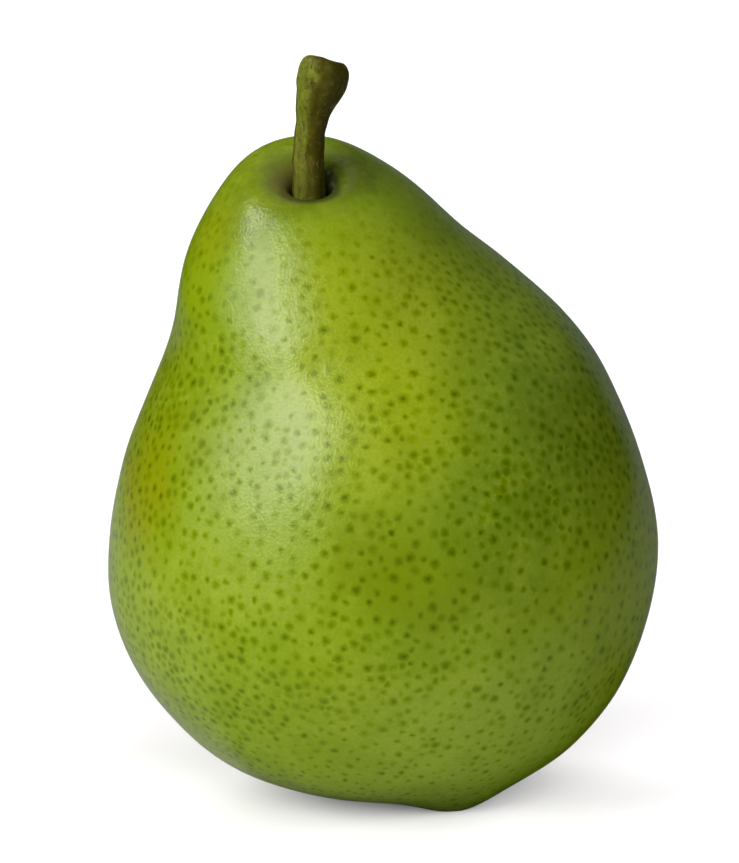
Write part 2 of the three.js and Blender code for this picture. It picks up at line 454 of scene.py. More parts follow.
LEAF_GREEN = (0.325, 0.448, 0.008)
LIME_GREEN = (0.325, 0.448, 0.001)
MOSS_GREEN = (0.400, 0.545, 0.052)
FRESH_GREEN = (0.290, 0.430, 0.010)
PALE_GREEN = (0.460, 0.560, 0.016)
# pale waxy bloom with a painted highlight, laid where the big soft box shines
BLOOM_AND_HIGHLIGHT_GREEN = (0.440, 0.565, 0.120)
# pale milky bloom with a faint painted sheen
MILKY_BLOOM_AND_SHEEN = (0.410, 0.535, 0.060)
DEEP_GREEN = (0.212, 0.330, 0.016)
# painted shade on the crown round the stem's pit
CROWN_SHADE_GREEN = (0.200, 0.260, 0.010)
OLIVE = (0.245, 0.330, 0.001)
AMBER = (0.340, 0.380, 0.001)
ORANGE = (0.400, 0.290, 0.004)
# painted shade in and round the stem's pit, and the painted dark line of shade in the gap at the
# stalk's foot
PIT_SHADE = (0.080, 0.105, 0.010)
PIT_GAP_SHADE = (0.035, 0.042, 0.014)
RUSSET = (0.190, 0.150, 0.030)
VEIL = (0.440, 0.550, 0.040)
SPOT_TINT = (0.42, 0.50, 0.30)  # what the skin's colour is multiplied by in the middle of a spot
NO_BLUE = (1.0, 1.0, 0.0)
SPOT_BLUE_LOSS = 2.2  # how much faster the skin's blue fades towards a spot's middle
HEART_TINT = (0.66, 0.70, 0.60)

# Large soft patches of the skin, some of them painted highlight, painted sheen and painted shade:
# the middle and reach in millimetres, the strength, the colour.
SKIN_AND_PAINTED_LIGHT_PATCHES = [
    ((-1.5, -24.0, 75.0), 17.0, 0.80, PALE_GREEN),
    ((-1.0, -31.0, 61.0), 15.0, 0.75, PALE_GREEN),
    # the next five patches are pale bloom with a painted highlight on the front-left of the neck
    # and belly
    ((-13.8, -30.0, 58.5), 8.0, 0.72, BLOOM_AND_HIGHLIGHT_GREEN),
    ((-18.0, -28.0, 54.0), 12.0, 0.50, BLOOM_AND_HIGHLIGHT_GREEN),
    ((-15.0, -19.8, 81.0), 5.0, 0.52, BLOOM_AND_HIGHLIGHT_GREEN),
    ((-14.6, -23.3, 74.0), 5.5, 0.72, BLOOM_AND_HIGHLIGHT_GREEN),
    ((-18.2, -22.5, 71.0), 4.5, 0.50, BLOOM_AND_HIGHLIGHT_GREEN),
    ((-25.0, -12.0, 77.0), 8.0, 0.70, LIME_GREEN),
    # the next two patches are milky bloom with a faint painted sheen, low on the front-left
    ((-18.5, -31.0, 45.0), 14.0, 0.60, MILKY_BLOOM_AND_SHEEN),
    ((-30.0, -19.0, 28.0), 13.0, 0.25, MILKY_BLOOM_AND_SHEEN),
    ((24.0, -21.5, 60.0), 18.5, 0.90, DEEP_GREEN),
    ((17.0, -33.5, 46.5), 14.0, 0.75, DEEP_GREEN),
    ((-0.5, -37.8, 43.0), 8.3, 0.85, OLIVE),
    ((6.0, -37.4, 38.5), 8.5, 0.62, OLIVE),
    ((-32.0, -12.0, 59.0), 17.0, 0.70, OLIVE),
    ((-34.5, -16.5, 48.5), 10.5, 0.85, AMBER),
    ((-23.0, -9.5, 84.5), 6.0, 0.60, AMBER),
    # the next three patches are painted shade round the stem's pit; the last is the stalk's painted
    # shadow
    ((-16.0, -12.0, 91.0), 9.0, 0.70, CROWN_SHADE_GREEN),
    ((-15.5, -4.0, 95.0), 6.0, 0.60, CROWN_SHADE_GREEN),
    ((-5.0, -8.5, 93.2), 6.0, 0.75, PIT_SHADE),
    ((12.0, -29.5, 15.0), 19.0, 0.60, MOSS_GREEN),
    ((-12.0, 31.0, 62.0), 20.0, 0.70, PALE_GREEN),
    ((24.0, 26.0, 40.0), 18.0, 0.70, OLIVE),
    ((-22.0, 30.0, 30.0), 16.0, 0.50, DEEP_GREEN),
    ((33.0, 10.0, 62.0), 15.0, 0.50, DEEP_GREEN),
]
FLECK_PATCH = ((-34.5, -16.5, 49.0), 13.0)
# Patches with hardly any of the pale veil: the middle and reach in millimetres.
CLEAR_PATCHES = [FLECK_PATCH, ((-25.0, -12.0, 77.0), 10.0), ((4.0, -37.5, 40.0), 11.0)]
PATCH_EDGE = (1.65, 0.75)  # where a patch fades in and is full, as shares of its reach
PATCH_RAGGED = 0.8  # how far noise moves a patch's edge, as a share of its reach

# The skin's noises: size in millimetres, detail, roughness.
SKIN_NOISES = {
    "wide_clouds": (26.0, 2.0, 0.50),
    "clouds": (5.5, 3.0, 0.55),
    "small_clouds": (2.4, 2.0, 0.50),
    "edges": (9.0, 2.0, 0.50),
    "mottle": (1.2, 3.0, 0.60),
    "grain": (0.5, 2.0, 0.50),
    "pit_edge": (2.2, 3.0, 0.50),
    "pebbles": (0.42, 1.0, 0.50),
    "ripples": (2.4, 2.0, 0.50),
    "grains": (1.1, 2.0, 0.60),
}
SKIN_RELIEF = [("pebbles", 0.052), ("ripples", 0.036), ("grains", 0.045)]  # millimetres

# Where in its noise each shade of the skin starts and is full, and its least and most strength.
FRESH_RANGE = (0.35, 0.65)
ORANGE_RANGE = (0.52, 0.72, 0.0, 0.45)
SHADE_RANGE = (0.52, 0.30, 0.0, 0.30)
VEIL_RANGE = (0.44, 0.70)
VEIL_BREAKS = (0.35, 0.65, 0.50, 1.0)
MOTTLE_RANGE = (0.46, 0.70)
GRAIN_RANGE = (0.40, 0.75, 0.0, 0.34)
VEIL_STRENGTHS = (0.08, 0.42)  # in the clear patches and elsewhere
MOTTLE_STRENGTHS = (0.06, 0.28)

SPOT_RADII = (0.75, 1.15)
SPOT_STRENGTHS = (0.50, 1.0)
SPOT_SHRINKING = (4.0, 24.0, 0.70, 1.0)  # the spots are smaller low down: heights and factors
SPOT_FADING = (70.0, 94.0, 1.0, 0.30)  # and fainter high up
SPOT_RAGGED = 0.38  # how far the spots' outlines stray, in millimetres
SPOT_RAG_SIZE = 1.1
HEART_RADIUS = 0.36
HEART_CORE = 0.05
HEART_LUCK = (0.3, 0.9)  # the random numbers of the spots whose hearts start to show and are full

PIT_RAGGED = 2.5  # how far noise moves the pit's shades, in millimetres
# The pit's painted shade, its painted gap shade and its russet by their distance from its middle,
# in millimetres, in the same order.
PIT_SHADE_RANGE = (10.5, 5.5, 0.0, 0.55)
PIT_GAP_SHADE_RANGE = (6.1, 5.1, 0.0, 0.70)
RUSSET_RANGE = (8.0, 5.2, 0.0, 0.75)
# the painted gap shade lies nearer the middle at the pit's front
PIT_FRONT = (-13.5, -10.0, 0.0, 1.4)  # between these y the line comes nearer the middle
PIT_LEFT = (-11.0, -14.0)  # between these x the russet starts


def spot_layers(paint, place, attribute):
    """How much of a pixel is spot, and how much is the dark heart of one."""
    spot = paint.add("ShaderNodeAttribute", {}, output="Vector", attribute_name=attribute)
    luck = paint.add("ShaderNodeTexWhiteNoise", {"Vector": spot}, output="Color")
    wide, strong, hearty = paint.parts(luck)
    away = paint.distance(place, spot)
    height = paint.parts(spot)[2]
    radius = paint.step(wide, 0.0, 1.0, *SPOT_RADII)
    radius = paint.times(radius, paint.step(height, *SPOT_SHRINKING))
    strength = paint.step(strong, 0.0, 1.0, *SPOT_STRENGTHS)
    strength = paint.times(strength, paint.step(height, *SPOT_FADING))
    halo = paint.step(away, radius, 0.0, 0.0, 1.0)
    heart = paint.step(away, HEART_RADIUS, HEART_CORE, 0.0, 1.0)
    heart = paint.times(heart, paint.step(hearty, *HEART_LUCK))
    return paint.times(halo, strength), paint.times(heart, strength)


def patch(paint, place, middle, reach, ragged):
    """1 in the middle of a patch and 0 outside it, with a soft ragged edge."""
    away = paint.distance(place, middle)
    away = paint.sum(away, paint.times(ragged, reach * PATCH_RAGGED))
    start, full = PATCH_EDGE
    return paint.step(away, reach * start, reach * full)


def skin_colour(paint, place, noise):
    """The skin's colour: its greens, the large patches, some of them painted highlight and shade,
    and the pale veil over them.
    """
    colour = paint.mix(paint.step(noise["wide_clouds"], *FRESH_RANGE), LEAF_GREEN, FRESH_GREEN)
    for middle, reach, strength, tint in SKIN_AND_PAINTED_LIGHT_PATCHES:
        inside = patch(paint, place, middle, reach, noise["edges"])
        colour = paint.mix(paint.times(inside, strength), colour, tint)
    clear = [patch(paint, place, *spread, noise["edges"]) for spread in CLEAR_PATCHES]
    flecks = paint.times(clear[0], paint.step(noise["small_clouds"], *ORANGE_RANGE))
    colour = paint.mix(flecks, colour, ORANGE)
    colour = paint.mix(paint.step(noise["clouds"], *SHADE_RANGE), colour, OLIVE)
    clearest = reduce(paint.larger, clear)
    broken = paint.step(noise["small_clouds"], *VEIL_BREAKS)
    veil = paint.times(paint.step(noise["clouds"], *VEIL_RANGE), broken)
    veil = paint.times(veil, paint.step(clearest, 1.0, 0.0, *VEIL_STRENGTHS))
    colour = paint.mix(veil, colour, VEIL)
    mottle = paint.step(noise["mottle"], *MOTTLE_RANGE)
    mottle = paint.times(mottle, paint.step(clearest, 1.0, 0.0, *MOTTLE_STRENGTHS))
    colour = paint.mix(mottle, colour, VEIL)
    return paint.mix(paint.step(noise["grain"], *GRAIN_RANGE), colour, DEEP_GREEN)


def with_spots(paint, place, colour):
    """The skin's colour with its lenticels, which are darker and have less blue."""
    strayed = paint.strayed(place, SPOT_RAG_SIZE, SPOT_RAGGED)
    near_halo, near_heart = spot_layers(paint, strayed, "near_spot")
    next_halo, next_heart = spot_layers(paint, strayed, "next_spot")
    halo = paint.larger(near_halo, next_halo)
    heart = paint.larger(near_heart, next_heart)
    colour = paint.mix(halo, colour, SPOT_TINT, blend="MULTIPLY")
    colour = paint.mix(paint.times(halo, SPOT_BLUE_LOSS), colour, NO_BLUE, blend="MULTIPLY")
    return paint.mix(heart, colour, HEART_TINT, blend="MULTIPLY")


def with_pit(paint, place, noise, colour):
    """The skin's colour with painted shade round the stem's pit, a painted dark line of shade in
    its gap, and its russet.
    """
    x, y, _ = paint.parts(place)
    from_pit = paint.distance(place, tuple(PIT))
    near_pit = paint.sum(from_pit, paint.times(noise["pit_edge"], PIT_RAGGED))
    colour = paint.mix(paint.step(near_pit, *PIT_SHADE_RANGE), colour, PIT_SHADE)
    to_gap_shade = paint.sum(from_pit, paint.step(y, *PIT_FRONT))
    colour = paint.mix(paint.step(to_gap_shade, *PIT_GAP_SHADE_RANGE), colour, PIT_GAP_SHADE)
    russet = paint.times(paint.step(x, *PIT_LEFT), paint.step(near_pit, *RUSSET_RANGE))
    return paint.mix(russet, colour, RUSSET)


def skin_material():
    """Satin green skin with patches of colour, painted highlight and painted shade, lenticels and a
    fine relief.
    """
    paint = Paint("pear_skin")
    place = paint.place()
    noise = paint.noises(place, SKIN_NOISES)
    colour = skin_colour(paint, place, noise)
    colour = with_spots(paint, place, colour)
    colour = with_pit(paint, place, noise, colour)
    return paint.finish(
        Base_Color=colour,
        Roughness=0.22,
        IOR=1.42,
        Subsurface_Weight=0.10,
        Subsurface_Radius=(1.0, 1.2, 0.35),
        Subsurface_Scale=0.0012,
        Normal=paint.relief([(noise[name], height) for name, height in SKIN_RELIEF]),
    )


# --------------------------------------------------------------------------- stem

STEM_RINGS = [
    (86.35, -10.4, -9.4, 0.0, 0.0, 0.0),
    (86.35, -10.4, -9.4, 2.0, 1.95, 0.0),
    (88.2, -10.5, -9.4, 2.35, 2.3, 0.0),
    (91.0, -10.5, -9.3, 2.35, 2.25, 0.0),
    (94.5, -10.55, -9.3, 2.3, 2.2, 0.0),
    (97.4, -10.55, -9.4, 2.15, 2.05, 0.0),
    (101.0, -10.0, -9.5, 2.25, 2.15, 0.05),
    (102.9, -9.35, -9.8, 2.9, 2.8, 0.2),
    (105.3, -8.7, -10.0, 3.65, 3.2, 0.45),
    (107.6, -8.3, -10.1, 3.75, 3.25, 0.8),
    (108.95, -8.1, -10.1, 2.85, 2.5, 1.0),
    (109.1, -7.9, -10.1, 2.1, 1.85, 1.0),
    (108.95, -7.9, -10.1, 0.0, 0.0, 1.0),
]
CUT_LEAN = -0.25
CUT_NOD = -0.24
STEM_SIDES = 128
STEM_ROW_STEP = 0.16
STEM_RIDGES = [(5, 0.020, 0.4), (8, 0.012, 2.1), (13, 0.008, 4.0)]  # count, share, phase
STEM_RIDGE_TWIST = 0.06  # radians per millimetre
STEM_WAVES = 40
STEM_WAVE_SEED = 12
STEM_WAVE_LENGTHS = (1.2, 5.0)
STEM_WAVE_HEIGHT = 0.05
STEM_WAVES_START = 90.5  # the waves fade in between these heights, above the socket
STEM_WAVES_FULL = 93.0

STEM_GREEN = (0.225, 0.275, 0.022)
STEM_OLIVE = (0.120, 0.122, 0.006)
STEM_BROWN = (0.084, 0.067, 0.003)
STEM_BARK = (0.075, 0.046, 0.006)
# painted shade on the stalk's right side and along its left edge
STEM_SHADE = (0.084, 0.074, 0.009)
STEM_FOOT = (0.090, 0.110, 0.008)
STEM_RUST = (0.170, 0.120, 0.020)
STEM_PALE = (0.260, 0.300, 0.030)
STEM_TAN = (0.260, 0.215, 0.100)
STEM_SCAR = (0.215, 0.140, 0.050)
CUT_BROWN = (0.100, 0.070, 0.026)

# The stalk's noises: size in millimetres, detail, roughness and, if any, the stretch in x, y, z.
STEM_NOISES = {
    "streaks": (0.55, 4.0, 0.60, (1.0, 1.0, 0.22)),
    "clouds": (2.2, 3.0, 0.50),
    "mottles": (0.9, 3.0, 0.50),
    "bands": (0.8, 3.0, 0.50, (0.4, 0.4, 2.2)),
    "specks": (0.35, 2.0, 0.60, (1.0, 1.0, 0.5)),
    "bars": (0.42, 3.0, 0.65, (1.0, 1.0, 0.35)),
    "flecks": (0.6, 1.0, 0.50, (1.0, 1.0, 0.7)),
    "cut": (0.5, 3.0, 0.50),
}
STEM_RELIEF = [("streaks", 0.08), ("mottles", 0.08), ("bands", 0.03)]  # millimetres

# The stalk's tones, one over the other: what each follows, where it starts and is full, its
# strength and its colour. "across" is the place from left to right, in millimetres.
STEM_TONES = [
    # the three tones across it darken the right side: the olive and brown are partly the bark's own
    # colour and partly painted shade, the last is painted shade
    ("across", -10.6, -9.4, 1.0, STEM_OLIVE),
    ("across", -10.0, -8.8, 0.80, STEM_BROWN),
    ("across", -8.6, -7.4, 1.0, STEM_SHADE),
    ("mottles", 0.52, 0.70, 0.15, STEM_GREEN),
    ("specks", 0.52, 0.70, 0.55, STEM_BROWN),
    ("specks", 0.42, 0.28, 0.40, STEM_PALE),
]
STREAK_RANGE = (0.38, 0.68, 0.0, 0.80)
ACROSS_STRAY = 1.8  # how far noise moves the line between green and brown, in millimetres
# The stalk leans to the right towards its top, and so does that line: heights and shifts.
ACROSS_LEANS = [(98.0, 104.0, 0.0, 0.4), (105.5, 108.5, 0.0, 1.0)]
BAND_RANGE = (0.46, 0.66)
BAND_HEIGHTS = (102.5, 105.5)
BAND_STRENGTH = 0.45
BAR_RANGE = (0.53, 0.61, 0.0, 0.80)
BAR_LEFT = (-11.4, -10.5)  # the bars lie along the line, between these two
BAR_RIGHT = (-8.6, -9.6)
FOOT_HEIGHTS = (95.0, 91.5, 0.0, 0.45)
RUST_HEIGHTS = (99.0, 95.5)
RUST_RANGE = (0.50, 0.62, 0.0, 0.45)
# the shade at the left edge is painted shade
EDGE_TURN = (-0.90, -0.985, 0.0, 0.75)  # the normal's x at the left edge, and the shade there
RIM_TURN = (-0.70, -0.95, 0.0, 0.70)  # the same for the dark rim at the foot
RIM_HEIGHTS = (98.0, 95.0)
RIM_STREAKS = (0.36, 0.56)
TAN_RANGE = (0.66, 0.76, 0.0, 0.55)
CUT_LEFT = 8.9  # how far left of x = 0 the cut's middle lies, in millimetres
CUT_HEIGHTS = (109.1, 109.9)

# Kinds of marks: the share of the reach where it is full, the strength there, the mottles that
# break it up, and the colour.
PALE_MARK = (0.2, 0.75, (0.42, 0.60), STEM_PALE)
SCAR_MARK = (0.3, 0.80, (0.30, 0.50), STEM_SCAR)
# Pale marks high on the stalk and small scars on its right half: middle, reach and kind.
STEM_MARKS = [
    ((-10.0, -12.9, 107.0), 2.0, PALE_MARK),
    ((-11.2, -12.4, 104.6), 1.6, PALE_MARK),
    ((-6.9, -10.7, 102.6), 1.0, SCAR_MARK),
    ((-8.7, -11.7, 100.2), 0.8, SCAR_MARK),
    ((-7.9, -12.0, 101.7), 0.6, SCAR_MARK),
]


def stem_points():
    """The stalk's bark: its rings with a few upright ridges and soft waves."""
    places = even_places(STEM_RINGS, STEM_ROW_STEP)
    points = swept_points(STEM_RINGS, places, STEM_SIDES, CUT_LEAN, CUT_NOD)
    turn = np.arange(STEM_SIDES) / STEM_SIDES * FULL_TURN
    centres = points.mean(axis=1, keepdims=True)
    ridge = np.zeros(points.shape[:2])
    for count, share, phase in STEM_RIDGES:
        ridge += share * np.cos(count * turn + phase + points[..., 2] * STEM_RIDGE_TWIST)
    points = centres + (points - centres) * (1 + ridge)[..., None]
    push = wave_push(points, STEM_WAVE_SEED, STEM_WAVE_LENGTHS, STEM_WAVE_HEIGHT, STEM_WAVES)
    fade = smooth_step(STEM_WAVES_START, STEM_WAVES_FULL, points[..., 2])
    return points + row_normals(points) * (push * fade)[..., None]


def stalk_guides(paint, place):
    """What the stalk's colours follow: its noises, bands near its top and the place across it."""
    x, _, z = paint.parts(place)
    guides = paint.noises(place, STEM_NOISES)
    bands = paint.step(guides["bands"], *BAND_RANGE)
    guides["bands"] = paint.times(bands, paint.step(z, *BAND_HEIGHTS))
    lean = reduce(paint.sum, [paint.step(z, *values) for values in ACROSS_LEANS])
    across = paint.sum(x, paint.times(guides["clouds"], ACROSS_STRAY))
    guides["across"] = paint.sum(across, paint.times(lean, -1.0))
    return guides


def bark_tones(paint, guides):
    """The stalk's green left and brown right, partly its own colour and partly painted shade, with
    its streaks, bands, specks and dark bars.
    """
    colour = paint.mix(paint.step(guides["streaks"], *STREAK_RANGE), STEM_GREEN, STEM_OLIVE)
    colour = paint.mix(paint.times(guides["bands"], BAND_STRENGTH), colour, STEM_OLIVE)
    for name, start, full, strength, tint in STEM_TONES:
        share = paint.step(guides[name], start, full, 0.0, strength)
        colour = paint.mix(share, colour, tint)
    bars = paint.step(guides["bars"], *BAR_RANGE)
    bars = paint.times(bars, paint.step(guides["across"], *BAR_LEFT))
    bars = paint.times(bars, paint.step(guides["across"], *BAR_RIGHT))
    return paint.mix(bars, colour, STEM_BARK)


def bark_foot(paint, place, guides, colour):
    """The stalk's colour with its green foot, the rust above it, painted shade along its left edge
    and a dark rim at its foot.
    """
    z = paint.parts(place)[2]
    colour = paint.mix(paint.step(z, *FOOT_HEIGHTS), colour, STEM_FOOT)
    rust = paint.times(paint.step(z, *RUST_HEIGHTS), paint.step(guides["mottles"], *RUST_RANGE))
    colour = paint.mix(rust, colour, STEM_RUST)
    turned = paint.parts(paint.add("ShaderNodeTexCoord", {}, output="Normal"))[0]
    colour = paint.mix(paint.step(turned, *EDGE_TURN), colour, STEM_SHADE)
    rim = paint.times(paint.step(turned, *RIM_TURN), paint.step(z, *RIM_HEIGHTS))
    rim = paint.times(rim, paint.step(guides["streaks"], *RIM_STREAKS))
    return paint.mix(rim, colour, STEM_BARK)


def bark_marks(paint, place, guides, colour):
    """The stalk's colour with its pale marks, scars and tan flecks, and the brown cut on top."""
    for middle, reach, (core, strength, broken, tint) in STEM_MARKS:
        mark = paint.step(paint.distance(place, middle), reach, reach * core, 0.0, strength)
        mark = paint.times(mark, paint.step(guides["mottles"], *broken))
        colour = paint.mix(mark, colour, tint)
    colour = paint.mix(paint.step(guides["flecks"], *TAN_RANGE), colour, STEM_TAN)
    x, _, z = paint.parts(place)
    slope = paint.times(paint.sum(x, CUT_LEFT), -CUT_LEAN)
    on_cut = paint.step(paint.sum(z, slope), *CUT_HEIGHTS)
    return paint.mix(on_cut, colour, paint.mix(guides["cut"], CUT_BROWN, STEM_BROWN))


def stem_material():
    """Olive bark that turns brown to the right, partly its own colour and partly painted shade,
    with a dry cut on top.
    """
    paint = Paint("pear_stalk")
    place = paint.place()
    guides = stalk_guides(paint, place)
    colour = bark_tones(paint, guides)
    colour = bark_foot(paint, place, guides, colour)
    colour = bark_marks(paint, place, guides, colour)
    return paint.finish(
        Base_Color=colour,
        Roughness=0.55,
        IOR=1.40,
        Specular_IOR_Level=0.14,
        Normal=paint.relief([(guides[name], height) for name, height in STEM_RELIEF]),
    )


# --------------------------------------------------------------------------- calyx

CALYX_SEED = 5
SEPALS = 5
SEPAL_ROOT = 1.4
SEPAL_TIP = 6.9
SEPAL_SHORTEST = 0.88  # the shortest sepal's reach, as a share of the longest's
SEPAL_TURN = 0.08  # how far a sepal may turn from its place, in radians
SEPAL_TWIST = 0.5
SEPAL_HALF_WIDTH = 1.5
SEPAL_EDGE_WIDTH = 0.05
SEPAL_TAPER = 0.6  # how blunt the tip is
SEPAL_ROOT_WIDTH = 0.75  # the root's width as a share, and how much it widens further out
SEPAL_WIDENING = 0.6
SEPAL_THICKNESS = 0.45
SEPAL_STEPS = 14
SEPAL_ACROSS = 8
SEPAL_GAP = 0.25  # between a sepal's root and the fruit, in millimetres
SEPAL_CURL = 1.3
SEPAL_CUP = 0.35
SEPAL_RIPPLE = 0.08
SEPAL_LOWEST = 0.3  # no part of a sepal hangs nearer the floor, in millimetres
# The cup's outline: radius and depth under the basin's roof, from its inside to its outside.
CUP_OUTLINE = [
    (0, 0.9), (0.9, 1.1), (1.35, 1.7), (1.7, 1.9), (2.1, 1.5), (2.3, 0.7), (1.9, 0.1), (0, 0.05),
]
CUP_SIDES = 40
CUP_WOBBLE = 0.06
STAMENS = 17
STAMEN_ROOT = 0.9  # depth under the basin's roof, in millimetres
STAMEN_TIPS = (2.2, 3.0)
STAMEN_RING = (0.35, 1.2)  # how far from the middle they stand
STAMEN_LEANS = (-0.9, 0.5)
STAMEN_TURN = 0.1  # radians
STAMEN_SWAY = 0.8
STAMEN_RADIUS = 0.09
STAMEN_SIDES = 6
STAMEN_ROWS = 7
KNOB_PLACE = 0.9  # the knob's place along a stamen, its size and its length
KNOB_SIZE = 0.9
KNOB_LENGTH = 0.12
KNOB_END = 0.1  # how far its end hangs below the tip, in millimetres
SEPAL_BROWN = (0.045, 0.026, 0.012)
SEPAL_EDGE = (0.120, 0.080, 0.040)
CRINKLE_SIZE = 0.6
CRINKLE_RANGE = (0.4, 0.7)
CRINKLE_HEIGHT = 0.12
BELOW_FLOOR = -0.01  # metres; the rays that find the basin's roof start here


def basin_roof(fruit_mesh):
    """Gives the height of the fruit's underside over a point of the ground, in millimetres."""
    verts = [v.co for v in fruit_mesh.vertices]
    tree = BVHTree.FromPolygons(verts, [tuple(f.vertices) for f in fruit_mesh.polygons])

    def roof(x, y):
        hit = tree.ray_cast(Vector((x * MM, y * MM, BELOW_FLOOR)), Vector((0, 0, 1)))
        return hit[0].z / MM

    return roof


def sepal_points(angle, roof, rng):
    """Points of one dried sepal, a blade with two sides that follows the basin and curls."""
    points = []
    reach = SEPAL_TIP * rng.uniform(SEPAL_SHORTEST, 1.0)
    twist = rng.uniform(-SEPAL_TWIST, SEPAL_TWIST)
    for side in (0, 1):
        for step in range(SEPAL_STEPS + 1):
            along = step / SEPAL_STEPS
            out = SEPAL_ROOT + (reach - SEPAL_ROOT) * along
            half = SEPAL_HALF_WIDTH * (1 - along) ** SEPAL_TAPER
            half = half * (SEPAL_ROOT_WIDTH + SEPAL_WIDENING * along) + SEPAL_EDGE_WIDTH
            for cross in range(SEPAL_ACROSS + 1):
                share = cross / SEPAL_ACROSS * 2 - 1
                sway = share * half + 0.5 * twist * along**2
                x = BASIN_X + out * math.cos(angle) - sway * math.sin(angle)
                y = out * math.sin(angle) + sway * math.cos(angle)
                lift = SEPAL_GAP + SEPAL_CURL * along**3 + SEPAL_CUP * share**2 * along
                ripple = SEPAL_RIPPLE * math.sin(9 * along + 3 * share + angle * 3)
                z = roof(x, y) - lift - ripple - side * SEPAL_THICKNESS
                points.append((x, y, max(z, SEPAL_LOWEST)))
    return points


def sepal_faces():
    """Faces of one sepal: its upper and lower sides, and the rim that joins them."""
    wide = SEPAL_ACROSS + 1
    lower = (SEPAL_STEPS + 1) * wide
    faces = []
    for step in range(SEPAL_STEPS):
        for cross in range(SEPAL_ACROSS):
            a = step * wide + cross
            b, c, d = a + 1, a + wide + 1, a + wide
            faces.append((a, b, c, d))
            faces.append(tuple(lower + i for i in (d, c, b, a)))
    rim = (
        list(range(wide))
        + [step * wide + wide - 1 for step in range(1, SEPAL_STEPS + 1)]
        + [SEPAL_STEPS * wide + i for i in range(wide - 2, -1, -1)]
        + [step * wide for step in range(SEPAL_STEPS - 1, 0, -1)]
    )
    for here, after in zip(rim, rim[1:] + rim[:1]):
        faces.append((after, here, lower + here, lower + after))
    return faces


def cup(top, rng):
    """Points and faces of the small uneven cup in the basin's middle, under a height."""
    bend = [1 + CUP_WOBBLE * rng.uniform(-1, 1) for _ in range(CUP_SIDES)]
    points = [(BASIN_X, 0.0, top - CUP_OUTLINE[0][1])]
    for radius, depth in CUP_OUTLINE[1:-1]:
        for side in range(CUP_SIDES):
            turn = side / CUP_SIDES * FULL_TURN
            out = radius * bend[side]
            points.append((BASIN_X + out * math.cos(turn), out * math.sin(turn), top - depth))
    points.append((BASIN_X, 0.0, top - CUP_OUTLINE[-1][1]))
    return points, tube_faces(len(CUP_OUTLINE) - 2, CUP_SIDES)


def stamen(root, tip):
    """Points and faces of one withered stamen, a thin bent thread with a knob at its end."""
    points = [root]
    for row in range(STAMEN_ROWS):
        along = row / (STAMEN_ROWS - 1)
        knob = KNOB_SIZE * math.exp(-(((along - KNOB_PLACE) / KNOB_LENGTH) ** 2))
        thick = STAMEN_RADIUS * (1 + knob)
        x = root[0] + (tip[0] - root[0]) * along * along
        y = root[1] + (tip[1] - root[1]) * along * along
        z = root[2] + (tip[2] - root[2]) * along
        for side in range(STAMEN_SIDES):
            turn = side / STAMEN_SIDES * FULL_TURN
            points.append((x + thick * math.cos(turn), y + thick * math.sin(turn), z))
    points.append((tip[0], tip[1], tip[2] - KNOB_END))
    # It hangs, so its faces turn the other way.
    return points, [face[::-1] for face in tube_faces(STAMEN_ROWS, STAMEN_SIDES)]


def random_stamen(place, top, rng):
    """A stamen at a share of the way round, that hangs from just under a height."""
    turn = place * FULL_TURN + rng.uniform(-STAMEN_TURN, STAMEN_TURN)
    out = rng.uniform(*STAMEN_RING)
    lean = rng.uniform(*STAMEN_LEANS)
    x = BASIN_X + out * math.cos(turn)
    y = out * math.sin(turn)
    tip_x = x + lean * math.cos(turn + rng.uniform(-STAMEN_SWAY, STAMEN_SWAY))
    tip_y = y + lean * math.sin(turn + rng.uniform(-STAMEN_SWAY, STAMEN_SWAY))
    tip = (tip_x, tip_y, top - rng.uniform(*STAMEN_TIPS))
    return stamen((x, y, top - STAMEN_ROOT), tip)


def calyx_mesh(fruit_mesh):
    """Five sepals round a cup of withered stamens, as one mesh."""
    rng = np.random.default_rng(CALYX_SEED)
    roof = basin_roof(fruit_mesh)
    top = roof(BASIN_X, 0.0)
    bodies = []
    for index in range(SEPALS):
        angle = index / SEPALS * FULL_TURN + rng.uniform(-SEPAL_TURN, SEPAL_TURN)
        bodies.append((sepal_points(angle, roof, rng), sepal_faces()))
    bodies.append(cup(top, rng))
    bodies += [random_stamen(index / STAMENS, top, rng) for index in range(STAMENS)]
    points, faces = [], []
    for body_points, body_faces in bodies:
        start = len(points)
        points += body_points
        faces += [tuple(start + i for i in face) for face in body_faces]
    return smooth_mesh("calyx_dried", points, faces)


def calyx_material():
    """Dull crinkled brown, paler where the crinkles stand out."""
    paint = Paint("pear_calyx")
    crinkle = paint.noise(paint.place(), CRINKLE_SIZE, detail=4.0, roughness=0.6)
    return paint.finish(
        Base_Color=paint.mix(paint.step(crinkle, *CRINKLE_RANGE), SEPAL_BROWN, SEPAL_EDGE),
        Roughness=0.85,
        Normal=paint.relief([(crinkle, CRINKLE_HEIGHT)]),
    )


# --------------------------------------------------------------------------- the pear

fruit_mesh = closed_mesh("pear_fruit", fruit_points())
mark_spots(fruit_mesh)
fruit = add_piece("pear_fruit", fruit_mesh, skin_material(), "fruit")
stem_mesh = closed_mesh("pear_stem", stem_points())
stem = add_piece("pear_stem", stem_mesh, stem_material(), "stem")
calyx = add_piece("pear_calyx", calyx_mesh(fruit_mesh), calyx_material(), "calyx")

# --------------------------------------------------------------------------- studio

